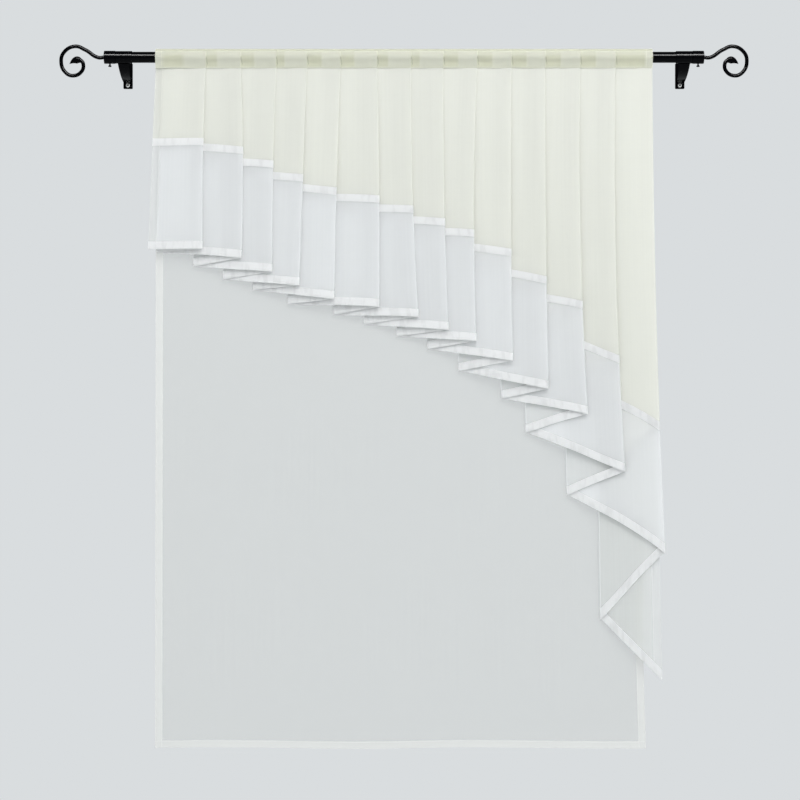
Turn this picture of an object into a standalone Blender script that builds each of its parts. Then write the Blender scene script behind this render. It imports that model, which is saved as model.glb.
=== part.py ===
"""Ruffled cascade curtain on its rod: a straight sheer panel with a pleated, slanting ruffle in front of it.

Metres, +Z up. The origin is on the wall plane, midway between the brackets, level with the rod's axis.
+X runs along the rod to the right, and -Y points away from the wall, into the room.
"""
import math
from collections import namedtuple

import bmesh
import bpy
from mathutils import Matrix, Vector

MM = 0.001
GAP = 0.3 * MM

# Curtain
CURTAIN_WIDTH = 1000 * MM
HALF_WIDTH = CURTAIN_WIDTH / 2 - 0.5 * MM
STITCH_DROP = 22.5 * MM
CLOTH = 1.0 * MM
RIBBON_THICKNESS = 1.4 * MM
BINDING_THICKNESS = 1.6 * MM
FLOUNCE_HEIGHT = 208 * MM
RIBBON_HEIGHT = 15 * MM
BINDING_HEIGHT = 16 * MM

# Rod and hardware
ROD_OUT = 80 * MM
ROD_RADIUS = 11 * MM
ROD_HALF = 598 * MM
CRADLE_INNER = 547 * MM
CRADLE_OUTER = 580 * MM
CRADLE_RADIUS = 12.4 * MM
BORE_RADIUS = ROD_RADIUS + GAP
BRACKET_X = (CRADLE_INNER + CRADLE_OUTER) / 2
COLLAR_END = 603 * MM
COLLAR_RADIUS = 13 * MM
COLLAR_WALL = 4 * MM
PLATE_WIDTH = 19 * MM
PLATE_THICKNESS = 4 * MM
PLATE_TOP = -2 * MM
PLATE_BOTTOM = -54 * MM
ARM_THICKNESS = 5 * MM
ARM_ROOT_WIDTH = PLATE_WIDTH - 2 * MM
ARM_FRONT_WIDTH = 24 * MM
SCREW_DROP = 47 * MM
SCREW_HEAD_RADIUS = 4 * MM
SCREW_HEAD_HEIGHT = 2.5 * MM
SCREW_SHANK_RADIUS = 2 * MM
THUMB_RADIUS = 1.6 * MM
THUMB_HEAD_RADIUS = 3.2 * MM
THUMB_LENGTH = 6 * MM
WIRE_RADIUS = 3.8 * MM

# Heading: a sleeve of pleated cloth round the rod, stitched shut under it
SLEEVE_INNER = ROD_RADIUS + 0.45 * MM
SLEEVE_OUTER = 14.5 * MM
SLEEVE_FRONT_FOOT = 8.6 * MM
SLEEVE_BACK_FOOT = 6.2 * MM
SLEEVE_WALL = 2.6 * MM
PLEAT_STEP = 2.2 * MM
PLEAT_STEP_WIDTH = 1.5 * MM
PLEAT_EDGE_HEIGHT = 0.45
PLEAT_MIDDLE_HEIGHT = 0.62
ARC_STEPS = 16
ARC_UNDER = 1 / 6

# Depth of the pleat stack: tight under the stitching, opening towards the hem
DEEP_Y = -ROD_OUT + 2 * MM
STACK_TOP = 8 * MM
STACK_OPENING = 26 * MM
TURN_TOP = 1.7 * MM
TURN_OPENING = 2.6 * MM
OPENING_LENGTH = 350 * MM
BOW = 2.5 * MM

# The ruffle's folds in order along the cloth. Columns: kind of fold, x at the heading, x at the hem and the
# hem's drop below the rod's axis, all in millimetres, how deep the fold lies in the stack, from 0 (front) to 1,
# and how far its middle strays to the right of a straight line, in millimetres.
Fold = namedtuple("Fold", "kind top hem drop depth sway")
FOLDS = [Fold(*row) for row in (
    ("edge", -499.5, -514, 387, 0.55, 0),
    ("front", -398, -404, 387, 0, -2.5), ("back", -497, -496, 392, 1, 0),
    ("front", -328, -326, 405, 0, 4), ("back", -441, -423, 420, 1, 0),
    ("front", -257, -264, 433, 0, -2), ("back", -374, -364, 446, 1, 0),
    ("front", -195, -210, 460, 0, 0), ("back", -303, -304, 468, 1, 0),
    ("front", -128, -140, 487, 0, -1), ("back", -239, -234, 496, 1, 0),
    ("front", -54, -50, 503, 0, 2), ("back", -165, -142, 517, 1, 0),
    ("front", 14, 29, 523, 0, -4), ("back", -98, -80, 537, 1, 0),
    ("front", 79, 89, 549, 0, -3), ("back", -32, -15, 561, 1, 0),
    ("front", 147, 145, 572, 0, -6), ("back", 33, 47, 587, 1, -2),
    ("front", 216, 218, 611, 0, -2.5), ("back", 107, 110, 631, 1, -3),
    ("front", 284, 289, 667, 0, -2), ("back", 177, 196, 686, 1, -3),
    ("front", 354, 368, 718, 0, -7), ("back", 246, 245, 755, 1, -4),
    ("front", 425, 443, 833, 0, -9), ("back", 316, 328, 881, 1, -4),
    ("front", 499, 523, 996, 0, -6), ("back", 383, 395, 1130, 1, -2),
    ("edge", 499, 518, 1253, 0.37, -3),
)]
FRONT_PARTS = 3
RETURN_PARTS = 1
VALANCE_ROWS = 4
VALANCE_ROW_POWER = 1.3

# Sheer panel: its right side is drawn in down to SHEER_DRAW_END of the drop, and comes partly back below that.
SHEER_COLUMNS = 20
SHEER_ROWS = 12
SHEER_Y = -ROD_OUT + 4.6 * MM
SHEER_DROP = 1391 * MM
SHEER_LEFT_SPREAD = 2.5 * MM
SHEER_RIGHT_DRAW = 18 * MM
SHEER_RIGHT_BACK = 6 * MM
SHEER_DRAW_END = 0.85
SHEER_WAVE = 2.2 * MM
SHEER_WAVE_OUT = 1.6
SHEER_WAVE_POWER = 0.7
SHEER_HEM_WAVE = 1.2 * MM
SHEER_HEM_WAVES = 12

# The sheer panel's long waves. Columns: radians across its width, phase, lean down its drop, and share of SHEER_WAVE.
Ripple = namedtuple("Ripple", "across phase lean height")
RIPPLES = [Ripple(9.4, 0.7, 0, 1), Ripple(20.7, 0, 2.1, 0.6)]

# Middle of a bracket's arm, from the wall plate to the ring, as (distance from the wall, height)
ARM_ROOT = Vector((2 * MM, -40 * MM))
ARM_BEND = Vector((66 * MM, -36 * MM))
ARM_TIP = Vector((ROD_OUT - 2 * MM, -8.5 * MM))
CUT_OVER = 10 * MM

# A finial: a wire bent to a scroll that ends in a leaf. Columns: distance out from the collar and height over
# the rod's axis, both in millimetres, and the wire's thickness there as a share of its own.
ScrollPoint = namedtuple("ScrollPoint", "out rise swell")
SCROLL = [ScrollPoint(*row) for row in (
    (0, 0, 1), (12, -0.5, 1), (38, 15, 1), (58, 22, 1), (80, 11, 1), (86.5, -8, 1), (78, -30, 1), (62, -37, 1),
    (45, -28, 1), (42, -14, 1), (46.5, -6.5, 1.3), (53, -5, 1.85), (60, -7.8, 1.6), (66, -11.3, 0.8),
    (70, -13.5, 0.3),
)]


def clear_scene():
    """Remove everything that the scene holds."""
    for item in list(bpy.data.objects):
        bpy.data.objects.remove(item, do_unlink=True)


def collection(name):
    """A collection of this name, linked to the scene."""
    made = bpy.data.collections.new(name)
    bpy.context.scene.collection.children.link(made)
    return made


clear_scene()
PARTS = collection("ruffled_curtain")
CUTTERS = collection("cutters")


def finish(name, color, roughness, metallic=0.0):
    """A Principled material."""
    made = bpy.data.materials.new(name)
    made.use_nodes = True
    shader = made.node_tree.nodes["Principled BSDF"]
    shader.inputs["Base Color"].default_value = (*color, 1)
    shader.inputs["Roughness"].default_value = roughness
    shader.inputs["Metallic"].default_value = metallic
    return made


CREAM = finish("cream_voile", (0.78, 0.79, 0.70), 0.8)
WHITE = finish("white_voile", (0.74, 0.77, 0.80), 0.8)
SATIN = finish("white_satin", (0.86, 0.87, 0.87), 0.4)
SHEER = finish("sheer_voile", (0.70, 0.73, 0.72), 0.8)
BLACK = finish("black_enamel", (0.012, 0.012, 0.013), 0.25, 0.3)
STEEL = finish("bright_steel", (0.62, 0.62, 0.60), 0.3, 1.0)


def add(name, mesh, material, group=None):
    """Put a mesh into the scene as an object with its material."""
    made = bpy.data.objects.new(name, mesh)
    mesh.materials.append(material)
    (group or PARTS).objects.link(made)
    return made


def as_mesh(name, shape):
    """Turn a bmesh into a mesh and free it."""
    mesh = bpy.data.meshes.new(name)
    shape.to_mesh(mesh)
    shape.free()
    return mesh


def smooth(item, angle=35):
    """Shade round faces smooth and keep the edges over this angle sharp."""
    item.data.shade_smooth()
    item.data.set_sharp_from_angle(angle=math.radians(angle))


def sheet_grid(columns, rows, place):
    """A grid of columns by rows whose corners go where place(column, row) says."""
    shape = bmesh.new()
    bmesh.ops.create_grid(shape, x_segments=columns, y_segments=rows, size=0.5)
    for vert in shape.verts:
        column = round((vert.co.x + 0.5) * columns)
        row = round((0.5 - vert.co.y) * rows)
        vert.co = place(column, row)
    return shape


def solidify(item, thickness):
    """Give an open sheet its thickness, half to each side."""
    wall = item.modifiers.new("thickness", "SOLIDIFY")
    wall.thickness = thickness
    wall.offset = 0
    wall.use_even_offset = True


def spread(drop):
    """Share of the stack's opening at this drop below the rod, from 0 to 1."""
    return 1 - math.exp(-(drop - STITCH_DROP) / OPENING_LENGTH)


def stack_depth(drop):
    """Depth of the whole pleat stack, front fold to back fold."""
    return STACK_TOP + STACK_OPENING * spread(drop)


def turn(drop):
    """Width of a fold's turn, from one layer's middle to the next one's."""
    return TURN_TOP + TURN_OPENING * spread(drop)


# One line down the cloth. Lengths in metres; the fold's turn moves the line by inset half-turns along X and by
# back whole turns in depth, and slope is the hem's drop for each metre of cloth.
Line = namedtuple("Line", "top hem drop slope depth back inset bow sway")


def fold_slopes():
    """The hem's slope at each fold, the mean of the panels beside it."""
    panels = [(b.drop - a.drop) / abs(b.hem - a.hem) for a, b in zip(FOLDS, FOLDS[1:])]
    inner = [(a + b) / 2 for a, b in zip(panels, panels[1:])]
    return [panels[0], *inner, panels[-1]]


def hermite(start, end, start_slope, end_slope, span, share):
    """A smooth value between two folds."""
    s2, s3 = share ** 2, share ** 3
    ends = (2 * s3 - 3 * s2 + 1) * start + (3 * s2 - 2 * s3) * end
    return ends + span * ((s3 - 2 * s2 + share) * start_slope + (s3 - s2) * end_slope)


def mix(first, second, share):
    """A value between two others."""
    return first + (second - first) * share


def cloth_lines():
    """The lines down the ruffle, from its left edge to its last one."""
    slopes = fold_slopes()
    inset = {"front": -1, "back": 1, "edge": 0}
    lines = []
    for number, (start, end) in enumerate(zip(FOLDS, FOLDS[1:])):
        is_return = start.kind == "front"
        parts = RETURN_PARTS if is_return else FRONT_PARTS
        back = {"front": 1, "back": -1, "edge": 0} if is_return else {"front": 0, "back": 0, "edge": 0}
        span = abs(end.hem - start.hem)
        for part in range(parts + 1):
            share = part / parts
            drop = hermite(start.drop, end.drop, slopes[number], slopes[number + 1], span, share)
            lines.append(Line(
                top=mix(start.top, end.top, share) * MM,
                hem=mix(start.hem, end.hem, share) * MM,
                drop=drop * MM,
                slope=mix(slopes[number], slopes[number + 1], share),
                depth=mix(start.depth, end.depth, share),
                back=mix(back[start.kind], back[end.kind], share),
                inset=mix(inset[start.kind], inset[end.kind], share),
                bow=0 if is_return else math.sin(math.pi * share),
                sway=mix(start.sway, end.sway, share) * MM,
            ))
        if end.kind != "edge":
            mid = 0.5 if end.kind == "front" else -0.5
            lines.append(Line(
                end.top * MM, end.hem * MM, end.drop * MM, slopes[number + 1], end.depth, mid, 0, 0, end.sway * MM,
            ))
    return lines


LINES = cloth_lines()


def ruffle_point(line, height):
    """Where the cloth lies on a line, at this height over the hem, measured square to the hem."""
    drop = line.drop - height * math.hypot(1, line.slope)
    return ruffle_at(line, drop)


def ruffle_at(line, drop):
    """Where the cloth lies on a line at this drop below the rod's axis."""
    share = (drop - STITCH_DROP) / (line.drop - STITCH_DROP)
    stray = line.sway * 4 * share * (1 - share)
    x = mix(line.top, line.hem, share) + stray + line.inset * turn(drop) / 2
    behind = line.depth * stack_depth(drop) + line.back * turn(drop) - BOW * line.bow * spread(drop)
    return Vector((x, DEEP_Y - stack_depth(drop) + behind, -drop))


def ruffle_strip(name, low, high, rows, thickness, material):
    """A strip of the ruffle between two heights over its hem, following its folds."""
    def place(column, row):
        return ruffle_point(LINES[column], high + (low - high) * row / rows)

    item = add(name, as_mesh(name, sheet_grid(len(LINES) - 1, rows, place)), material)
    solidify(item, thickness)
    return item


def valance():
    """The cream top of the ruffle, from the stitching down to the ribbon."""
    top = STITCH_DROP + GAP

    def place(column, row):
        line = LINES[column]
        low = line.drop - (FLOUNCE_HEIGHT + RIBBON_HEIGHT + GAP) * math.hypot(1, line.slope)
        return ruffle_at(line, mix(top, low, (row / VALANCE_ROWS) ** VALANCE_ROW_POWER))

    item = add("valance_top", as_mesh("valance_top", sheet_grid(len(LINES) - 1, VALANCE_ROWS, place)), CREAM)
    solidify(item, CLOTH)


def ruffle():
    """The ruffle: cream top, satin ribbon over the seam, white flounce, and satin binding on the hem."""
    valance()
    ruffle_strip("seam_ribbon", FLOUNCE_HEIGHT, FLOUNCE_HEIGHT + RIBBON_HEIGHT, 1, RIBBON_THICKNESS, SATIN)
    ruffle_strip("flounce", BINDING_HEIGHT + GAP, FLOUNCE_HEIGHT - GAP, 2, CLOTH, WHITE)
    ruffle_strip("hem_binding", 0, BINDING_HEIGHT, 1, BINDING_THICKNESS, SATIN)


def sheer_point(across, down):
    """Where the sheer panel hangs, at these shares of its width and of its drop."""
    left = -HALF_WIDTH - SHEER_LEFT_SPREAD * down
    drawn = SHEER_RIGHT_DRAW * math.sin(min(down / SHEER_DRAW_END, 1) * math.pi / 2) ** 2
    back = SHEER_RIGHT_BACK * max(0, down - SHEER_DRAW_END) / (1 - SHEER_DRAW_END)
    wave = sum(r.height * math.sin(r.across * across + r.phase + r.lean * down) for r in RIPPLES)
    uneven = SHEER_HEM_WAVE * math.sin(SHEER_HEM_WAVES * across) * down ** 4
    return Vector((
        mix(left, HALF_WIDTH - drawn + back, across),
        SHEER_Y + SHEER_WAVE * (SHEER_WAVE_OUT + wave) * down ** SHEER_WAVE_POWER,
        uneven - mix(STITCH_DROP + GAP, SHEER_DROP, down),
    ))


def sheer_panel():
    """The straight sheer panel behind the ruffle; its side and bottom hems are turned in its own cloth."""
    def place(column, row):
        return sheer_point(column / SHEER_COLUMNS, row / SHEER_ROWS)

    item = add("sheer_panel", as_mesh("sheer_panel", sheet_grid(SHEER_COLUMNS, SHEER_ROWS, place)), SHEER)
    solidify(item, CLOTH)


def sleeve_section():
    """The points round the heading's section, back to front over the rod, and then under it to the stitching.

    Each is its outer place and its inner place, as (forward, up) from the rod's axis, and its pleat weight.
    """
    section = []
    for step in range(ARC_STEPS + 1):
        angle = math.pi * (1 + 2 * ARC_UNDER) * step / ARC_STEPS - math.pi * ARC_UNDER
        ray = Vector((-math.cos(angle), math.sin(angle)))
        section.append((ray * SLEEVE_OUTER, ray * SLEEVE_INNER, max(0.0, ray.x) ** 0.5))
    front = Vector((SLEEVE_FRONT_FOOT, -STITCH_DROP))
    back = Vector((-SLEEVE_BACK_FOOT, -STITCH_DROP))
    section.append((front, front + Vector((-SLEEVE_WALL, SLEEVE_WALL)), 1))
    section.append((back, back + Vector((SLEEVE_WALL, SLEEVE_WALL)), 0))
    return section


def sleeve_columns():
    """Places along the heading, each with the height of its pleat there, from 0 to 1."""
    columns = [(-HALF_WIDTH, PLEAT_EDGE_HEIGHT)]
    fronts = [fold.top * MM for fold in FOLDS if fold.kind == "front"][:-1]
    for x, after in zip(fronts, [*fronts[1:], HALF_WIDTH]):
        columns += [(x, 1.0), (x + PLEAT_STEP_WIDTH, 0.0), ((x + after) / 2, PLEAT_MIDDLE_HEIGHT)]
    columns.append((HALF_WIDTH, 1.0))
    return columns


def heading():
    """The pleated rod pocket: a sleeve whose front steps back at every front fold."""
    section, columns = sleeve_section(), sleeve_columns()
    around, along = len(section), len(columns)

    def place(column, row):
        outer, inner, weight = section[row % around]
        if column % (along + 2) < along:
            x, height = columns[column % (along + 2)]
            forward = outer.x - PLEAT_STEP * weight * (1 - height)
            return Vector((x, -ROD_OUT - forward, outer.y))
        x = HALF_WIDTH if column == along else -HALF_WIDTH
        return Vector((x, -ROD_OUT - inner.x, inner.y))

    shape = sheet_grid(along + 2, around, place)
    bmesh.ops.remove_doubles(shape, verts=shape.verts, dist=1e-5)
    bmesh.ops.recalc_face_normals(shape, faces=shape.faces)
    add("heading", as_mesh("heading", shape), CREAM)


def turned(name, profile, material, location, direction, group=None, steps=24):
    """A turned solid: a profile of (radius, height) points from the top to the bottom of its axis."""
    mesh = bpy.data.meshes.new(name)
    mesh.from_pydata([(radius, 0, height) for radius, height in profile],
                     [(i, i + 1) for i in range(len(profile) - 1)], [])
    item = add(name, mesh, material, group)
    screw = item.modifiers.new("turn", "SCREW")
    screw.steps = screw.render_steps = steps
    screw.use_merge_vertices = True
    screw.merge_threshold = 0.00001
    item.location = location
    item.rotation_euler = Vector(direction).to_track_quat("Z", "Y").to_euler()
    return item


def rod():
    """The rod, a plain bar from collar to collar."""
    ends = [(0, ROD_HALF), (ROD_RADIUS, ROD_HALF), (ROD_RADIUS, -ROD_HALF), (0, -ROD_HALF)]
    turned("rod", ends, BLACK, (0, -ROD_OUT, 0), (1, 0, 0), steps=32)


def collar(side, name):
    """The cup that closes the rod's end, with the thumb screw under it."""
    start = CRADLE_OUTER + GAP
    floor = COLLAR_END - COLLAR_WALL
    profile = [(0, COLLAR_END), (COLLAR_RADIUS, COLLAR_END), (COLLAR_RADIUS, start), (BORE_RADIUS, start),
               (BORE_RADIUS, floor), (0, floor)]
    turned("collar_" + name, profile, BLACK, (0, -ROD_OUT, 0), (side, 0, 0))
    head = [(0, THUMB_LENGTH), (THUMB_HEAD_RADIUS, THUMB_LENGTH), (THUMB_HEAD_RADIUS, THUMB_LENGTH * 0.6),
            (THUMB_RADIUS, THUMB_LENGTH * 0.45), (THUMB_RADIUS, 0), (0, 0)]
    middle = (start + COLLAR_END) / 2
    place = (side * middle, -ROD_OUT, -COLLAR_RADIUS - GAP)
    turned("thumb_screw_" + name, head, BLACK, place, (0, 0, -1), steps=12)


def finial(side, name):
    """The scroll of wire with a leaf at its end."""
    curve = bpy.data.curves.new("finial_" + name, "CURVE")
    curve.dimensions = "3D"
    curve.bevel_depth = WIRE_RADIUS
    curve.bevel_resolution = 2
    curve.use_fill_caps = True
    curve.resolution_u = 5
    spline = curve.splines.new("BEZIER")
    spline.bezier_points.add(len(SCROLL) - 1)
    for point, row in zip(spline.bezier_points, SCROLL):
        point.co = (side * (COLLAR_END + GAP + row.out * MM), -ROD_OUT, row.rise * MM)
        point.radius = row.swell
        point.handle_left_type = point.handle_right_type = "AUTO"
    curve.materials.append(BLACK)
    item = bpy.data.objects.new("finial_" + name, curve)
    PARTS.objects.link(item)


def arm_path(share):
    """Middle of the bracket's arm, as (distance from the wall, height), from the plate to the cradle."""
    return ARM_ROOT * (1 - share) ** 2 + ARM_BEND * 2 * share * (1 - share) + ARM_TIP * share ** 2


def bracket_arm(side, name):
    """The curved arm that carries the cradle, wider at its front."""
    rows = 8

    def place(column, row):
        share = row / rows
        out, up = arm_path(share)
        width = mix(ARM_ROOT_WIDTH, ARM_FRONT_WIDTH, share ** 2)
        return Vector((side * BRACKET_X + (column - 0.5) * width, -out, up))

    shape = sheet_grid(1, rows, place)
    bmesh.ops.recalc_face_normals(shape, faces=shape.faces)
    item = add("arm_" + name, as_mesh("arm_" + name, shape), BLACK, CUTTERS)
    solidify(item, ARM_THICKNESS)
    return item


def guide(item):
    """Mark a helper shape, which is cut away or joined."""
    item.hide_render = True
    item.display_type = "WIRE"
    return item


def combine(item, other, operation):
    """Join a helper shape to an object, or cut it out of the object."""
    step = item.modifiers.new(operation.lower(), "BOOLEAN")
    step.operation = operation
    step.solver = "EXACT"
    step.object = guide(other)


def bracket(side, name):
    """Wall plate, curved arm and the ring that holds the rod, as one casting, with its wall screw."""
    shape = bmesh.new()
    bmesh.ops.create_cube(shape, size=1)
    bmesh.ops.scale(shape, verts=shape.verts, vec=(PLATE_WIDTH, PLATE_THICKNESS, PLATE_TOP - PLATE_BOTTOM))
    middle = Vector((side * BRACKET_X, -PLATE_THICKNESS / 2, (PLATE_TOP + PLATE_BOTTOM) / 2))
    bmesh.ops.transform(shape, verts=shape.verts, matrix=Matrix.Translation(middle))
    item = add("bracket_" + name, as_mesh("bracket_" + name, shape), BLACK)

    ring = [(0, CRADLE_OUTER), (CRADLE_RADIUS, CRADLE_OUTER), (CRADLE_RADIUS, CRADLE_INNER), (0, CRADLE_INNER)]
    bore = [(0, CRADLE_OUTER + CUT_OVER), (BORE_RADIUS, CRADLE_OUTER + CUT_OVER),
            (BORE_RADIUS, CRADLE_INNER - CUT_OVER), (0, CRADLE_INNER - CUT_OVER)]
    hole_radius = SCREW_SHANK_RADIUS + GAP
    hole = [(0, CUT_OVER), (hole_radius, CUT_OVER), (hole_radius, -CUT_OVER), (0, -CUT_OVER)]
    axis = (0, -ROD_OUT, 0)
    screw_place = (side * BRACKET_X, 0, -SCREW_DROP)
    combine(item, turned("hole_" + name, hole, BLACK, screw_place, (0, -1, 0), CUTTERS, steps=16), "DIFFERENCE")
    combine(item, bracket_arm(side, name), "UNION")
    combine(item, turned("ring_" + name, ring, BLACK, axis, (side, 0, 0), CUTTERS, steps=32), "UNION")
    combine(item, turned("bore_" + name, bore, BLACK, axis, (side, 0, 0), CUTTERS, steps=32), "DIFFERENCE")

    seat = PLATE_THICKNESS + GAP
    head = [(0, seat + SCREW_HEAD_HEIGHT), (SCREW_HEAD_RADIUS * 0.6, seat + SCREW_HEAD_HEIGHT),
            (SCREW_HEAD_RADIUS, seat + SCREW_HEAD_HEIGHT * 0.4), (SCREW_HEAD_RADIUS, seat),
            (SCREW_SHANK_RADIUS, seat), (SCREW_SHANK_RADIUS, GAP), (0, GAP)]
    turned("wall_screw_" + name, head, STEEL, screw_place, (0, -1, 0), steps=16)


def build():
    """Make the curtain, its rod and what carries the rod."""
    heading()
    ruffle()
    sheer_panel()
    rod()
    for side, name in ((-1, "left"), (1, "right")):
        bracket(side, name)
        collar(side, name)
        finial(side, name)
    for item in PARTS.objects:
        if item.type == "MESH":
            smooth(item)


build()
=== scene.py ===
"""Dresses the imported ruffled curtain: voile, satin and enamelled steel around the fixed frame.

Everything is in metres in the frame's own axes: +X along the rod, -Y into the room, +Z up, with the origin on
the wall plane at the height of the rod's axis.
"""
import logging
import math
from dataclasses import dataclass, field
from enum import Enum
from typing import Callable, Optional, Sequence

import bmesh
import bpy
from mathutils import Matrix, Vector, noise


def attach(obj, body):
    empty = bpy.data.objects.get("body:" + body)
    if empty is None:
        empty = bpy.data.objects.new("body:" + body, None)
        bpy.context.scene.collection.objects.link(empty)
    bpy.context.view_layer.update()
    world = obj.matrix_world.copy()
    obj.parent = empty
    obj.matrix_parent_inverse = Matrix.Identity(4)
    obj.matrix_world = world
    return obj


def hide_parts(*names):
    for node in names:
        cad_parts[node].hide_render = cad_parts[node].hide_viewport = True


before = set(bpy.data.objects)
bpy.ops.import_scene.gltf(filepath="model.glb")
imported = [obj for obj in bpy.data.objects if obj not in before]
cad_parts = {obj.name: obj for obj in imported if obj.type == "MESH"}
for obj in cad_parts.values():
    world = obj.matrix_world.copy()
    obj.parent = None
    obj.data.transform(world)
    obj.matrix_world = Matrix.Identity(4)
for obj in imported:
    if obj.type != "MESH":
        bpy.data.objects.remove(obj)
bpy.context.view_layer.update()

MM = 0.001
ROD_OUT = 80 * MM
HALF_WIDTH = 499.5 * MM
CLOTH_UV = "cloth"
# The cloth attribute: above zero where cloth lies double, below zero where it is drawn thinner and the voile
# paints shade on it.
PLIES_AND_SHADE = "plies_and_shade"
BODY = "root"
SHARP_ANGLE = math.radians(20)
BEVEL_ANGLE = math.radians(35)
WELD = 1e-6
SLEEVE_WELD = 1e-5

Color = tuple[float, float, float]
Place = Callable[[int, int], Vector]
Flat = Callable[[int, int], tuple[float, float]]
Density = Callable[[int, int], float]

logging.basicConfig(level=logging.INFO, format="%(name)s: %(message)s")
log = logging.getLogger("ruffled_curtain")


class Side(Enum):
    """An end of the rod."""

    LEFT = -1
    RIGHT = 1

    @property
    def word(self) -> str:
        """The side's name as nodes and pieces use it."""
        return self.name.lower()


class FoldKind(Enum):
    """What a line of the pleat table is."""

    EDGE = "edge"
    FRONT = "front"
    BACK = "back"


@dataclass(frozen=True)
class Fold:
    """One fold of the ruffle, in millimetres.

    Attributes:
        kind: Side edge, front fold or back fold.
        top: x at the heading.
        hem: x at the hem.
        drop: The hem's drop below the rod's axis.
        depth: How deep the fold lies in the stack, from 0 at the front to 1.
        sway: How far the fold's middle strays from a straight line, to the right.
    """

    kind: FoldKind
    top: float
    hem: float
    drop: float
    depth: float
    sway: float


EDGE, FRONT, BACK = FoldKind.EDGE, FoldKind.FRONT, FoldKind.BACK
FOLDS: list[Fold] = [Fold(*row) for row in (
    (EDGE, -499.5, -514, 387, 0.55, 0),
    (FRONT, -398, -404, 387, 0, -2.5), (BACK, -497, -496, 392, 1, 0),
    (FRONT, -328, -326, 405, 0, 4), (BACK, -441, -423, 420, 1, 0),
    (FRONT, -257, -264, 433, 0, -2), (BACK, -374, -364, 446, 1, 0),
    (FRONT, -195, -210, 460, 0, 0), (BACK, -303, -304, 468, 1, 0),
    (FRONT, -128, -140, 487, 0, -1), (BACK, -239, -234, 496, 1, 0),
    (FRONT, -54, -50, 503, 0, 2), (BACK, -165, -142, 517, 1, 0),
    (FRONT, 14, 29, 523, 0, -4), (BACK, -98, -80, 537, 1, 0),
    (FRONT, 79, 89, 549, 0, -3), (BACK, -32, -15, 561, 1, 0),
    (FRONT, 147, 145, 572, 0, -6), (BACK, 33, 47, 587, 1, -2),
    (FRONT, 216, 218, 611, 0, -2.5), (BACK, 107, 110, 631, 1, -3),
    (FRONT, 284, 289, 667, 0, -2), (BACK, 177, 196, 686, 1, -3),
    (FRONT, 354, 368, 718, 0, -7), (BACK, 246, 245, 755, 1, -4),
    (FRONT, 425, 443, 833, 0, -9), (BACK, 316, 328, 881, 1, -4),
    (FRONT, 499, 523, 996, 0, -6), (BACK, 383, 395, 1130, 1, -2),
    (EDGE, 499, 518, 1253, 0.37, -3),
)]


# Building blocks


def grid_piece(name: str, columns: int, rows: int, place: Place, flat: Optional[Flat] = None,
               density: Optional[Density] = None) -> bpy.types.Object:
    """Make a sheet from a grid whose corners go where a function says.

    Args:
        name: The piece's name.
        columns: Steps across.
        rows: Steps from top to bottom.
        place: Gives the place of the corner at a column and row.
        flat: Gives the corner's place on the flat cloth in metres, for the weave.
        density: Gives the corner's extra cloth: 1 where it lies double, less than 0 where it is drawn thinner
            and the voile paints shade.

    Returns:
        The new object, linked to the scene.
    """
    shape = bmesh.new()
    bmesh.ops.create_grid(shape, x_segments=columns, y_segments=rows, size=0.5)
    uv_layer = shape.loops.layers.uv.new(CLOTH_UV)
    plies_and_shade_layer = shape.verts.layers.float.new(PLIES_AND_SHADE)
    corner: dict[int, tuple[int, int]] = {}
    for vert in shape.verts:
        column = round((vert.co.x + 0.5) * columns)
        row = round((0.5 - vert.co.y) * rows)
        corner[vert.index] = (column, row)
        vert.co = place(column, row)
        vert[plies_and_shade_layer] = density(column, row) if density else 0.0
    for face in shape.faces:
        face.smooth = True
        for loop in face.loops:
            column, row = corner[loop.vert.index]
            loop[uv_layer].uv = flat(column, row) if flat else (loop.vert.co.x, loop.vert.co.z)
    crisp_rim(shape)
    return object_from(name, shape)


def crisp_rim(shape: bmesh.types.BMesh) -> None:
    """Mark a sheet's cut edges sharp, so that its face stays evenly lit up to them."""
    for edge in shape.edges:
        edge.smooth = not edge.is_boundary


def object_from(name: str, shape: bmesh.types.BMesh) -> bpy.types.Object:
    """Turn a bmesh into an object in the scene, and free it.

    Args:
        name: The piece's name.
        shape: The bmesh, already in place.

    Returns:
        The new object.
    """
    mesh = bpy.data.meshes.new(name)
    shape.to_mesh(mesh)
    shape.free()
    item = bpy.data.objects.new(name, mesh)
    bpy.context.scene.collection.objects.link(item)
    return item


def thicken(item: bpy.types.Object, thickness: float, offset: float = 0.0) -> None:
    """Give a sheet its thickness.

    Args:
        item: The sheet.
        thickness: Its thickness.
        offset: Which way it grows, from -1 (inwards) to 1.
    """
    wall = item.modifiers.new("thickness", "SOLIDIFY")
    wall.thickness = thickness
    wall.offset = offset
    wall.use_even_offset = True


def turned(name: str, profile: Sequence[tuple[float, float]], steps: int = 64) -> bpy.types.Object:
    """Spin a profile round the Z axis.

    Args:
        name: The piece's name.
        profile: Points of (radius, height) from the top of the axis to its bottom.
        steps: Steps of the turn.

    Returns:
        The turned object at the origin, its axis along Z.
    """
    shape = bmesh.new()
    verts = [shape.verts.new((radius, 0, height)) for radius, height in profile]
    edges = [shape.edges.new(pair) for pair in zip(verts, verts[1:])]
    bmesh.ops.spin(shape, geom=[*verts, *edges], axis=(0, 0, 1), cent=(0, 0, 0), angle=math.tau, steps=steps,
                   use_merge=True, use_normal_flip=False)
    bmesh.ops.remove_doubles(shape, verts=shape.verts, dist=WELD)
    bmesh.ops.recalc_face_normals(shape, faces=shape.faces)
    for face in shape.faces:
        face.smooth = True
    item = object_from(name, shape)
    item.data.set_sharp_from_angle(angle=SHARP_ANGLE)
    return item


def settle(item: bpy.types.Object, matrix: Matrix) -> None:
    """Move a mesh into place in its own points, so its object stays at the origin."""
    item.data.transform(matrix)


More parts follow.
